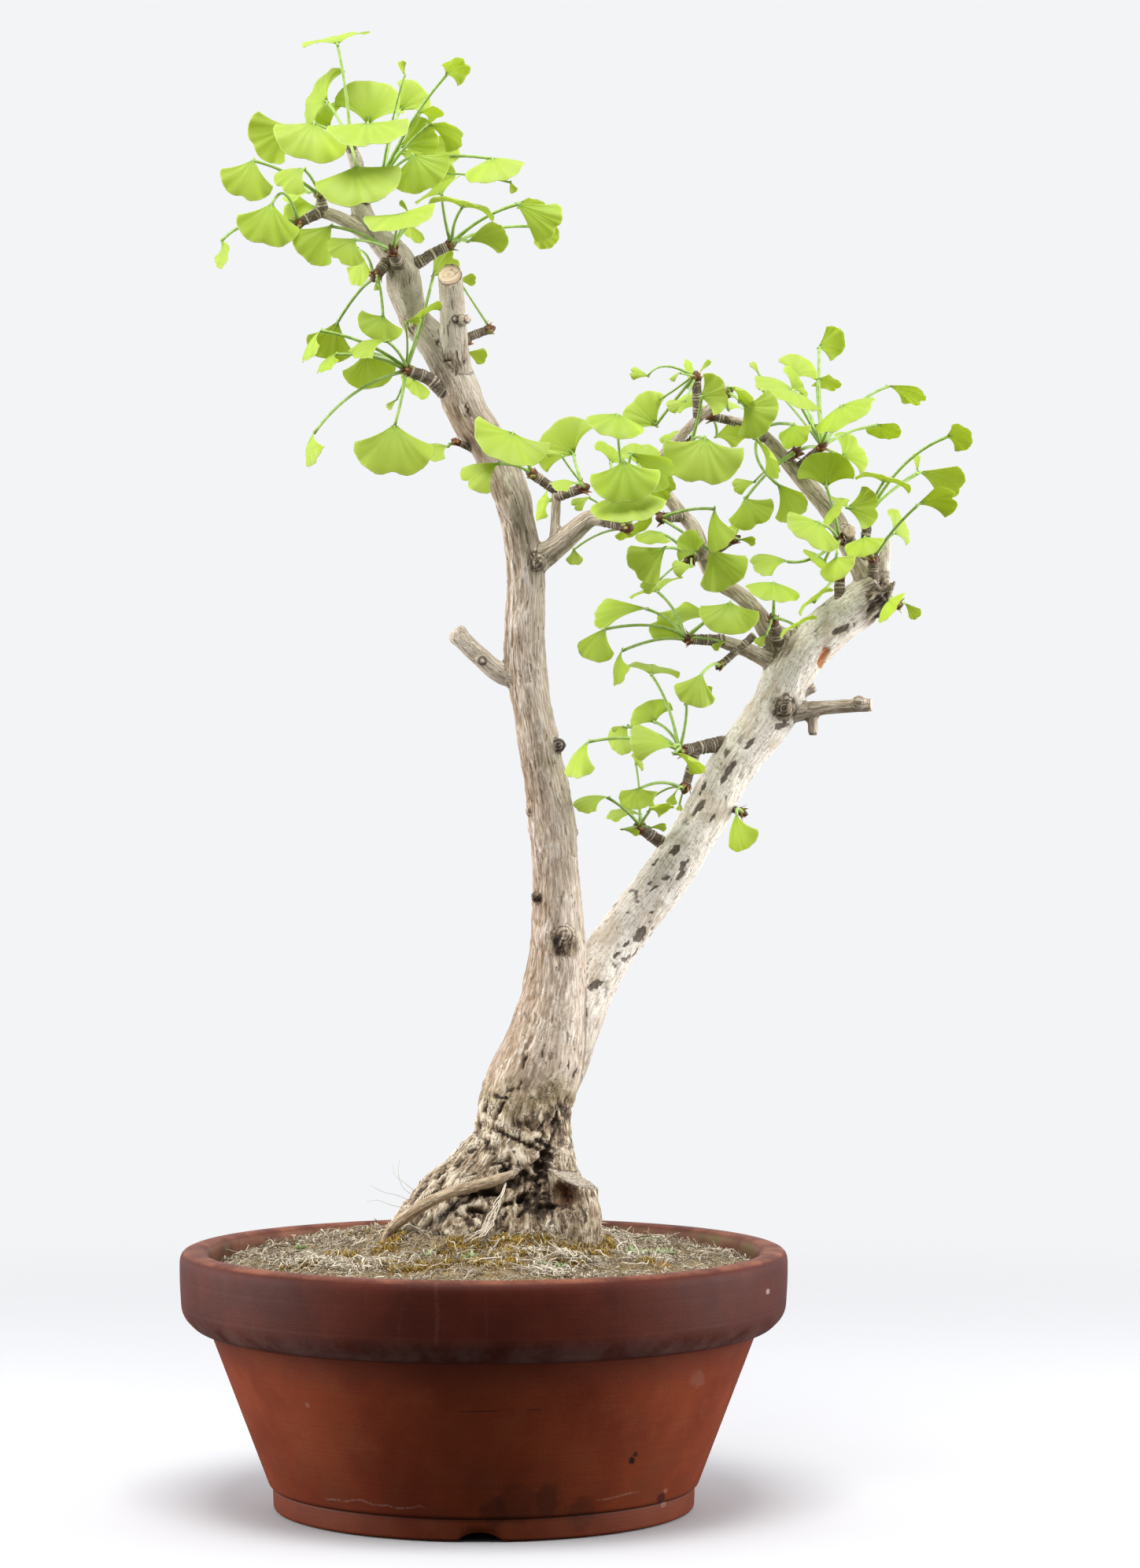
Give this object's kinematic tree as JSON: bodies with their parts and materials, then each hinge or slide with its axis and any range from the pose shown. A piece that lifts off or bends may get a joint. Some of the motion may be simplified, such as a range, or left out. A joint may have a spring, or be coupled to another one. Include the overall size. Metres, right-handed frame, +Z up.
{
  "type": "ginkgo bonsai",
  "caption": "Twin-trunk maidenhair bonsai with fan leaves in a round terracotta training pot with a rolled band.",
  "frame": {"origin": "on the surface that the pot stands on, under the middle of the tree and pot together", "axes": "+Z up, +X to the right of the front view, +Y away from the front"},
  "size_m": [0.4708, 0.36, 0.8791],
  "materials": {
    "terracotta": "matte",
    "drain_mesh_plastic": "matte",
    "soil": "matte",
    "bark": "matte",
    "leaf": "satin"
  },
  "bodies": {
    "root": {"pot": "terracotta", "drain_mesh": "drain_mesh_plastic", "soil": "soil", "tree": "bark", "spray_apex": "leaf", "spray_crown": "leaf", "spray_left_upper": "leaf", "spray_left_tip": "leaf", "spray_fork": "leaf", "spray_low_left": "leaf", "spray_right_upper": "leaf", "spray_mid": "leaf", "leaf_stub": "leaf", "leaf_trunk_left": "leaf", "leaf_behind": "leaf", "spray_twig_left": "leaf", "spray_twig_right": "leaf", "spray_front": "leaf", "spray_knob": "leaf", "spray_bough": "leaf", "spray_arch": "leaf", "spray_arch_top": "leaf", "spray_arch_end": "leaf", "spray_back_end": "leaf", "spray_back_middle": "leaf", "spray_back_low": "leaf", "spray_back_top": "leaf", "spray_right_top": "leaf", "spray_right_end": "leaf", "spray_bend": "leaf", "spray_ridge": "leaf", "spray_collar": "leaf", "spray_low_end": "leaf", "spray_low_spur": "leaf", "spray_twig_middle": "leaf", "spray_break": "leaf", "spray_spur_upper": "leaf", "spray_spur_hanging": "leaf", "spray_spur_lower": "leaf", "leaf_trunk_right": "leaf"}
  },
  "joints": []
}
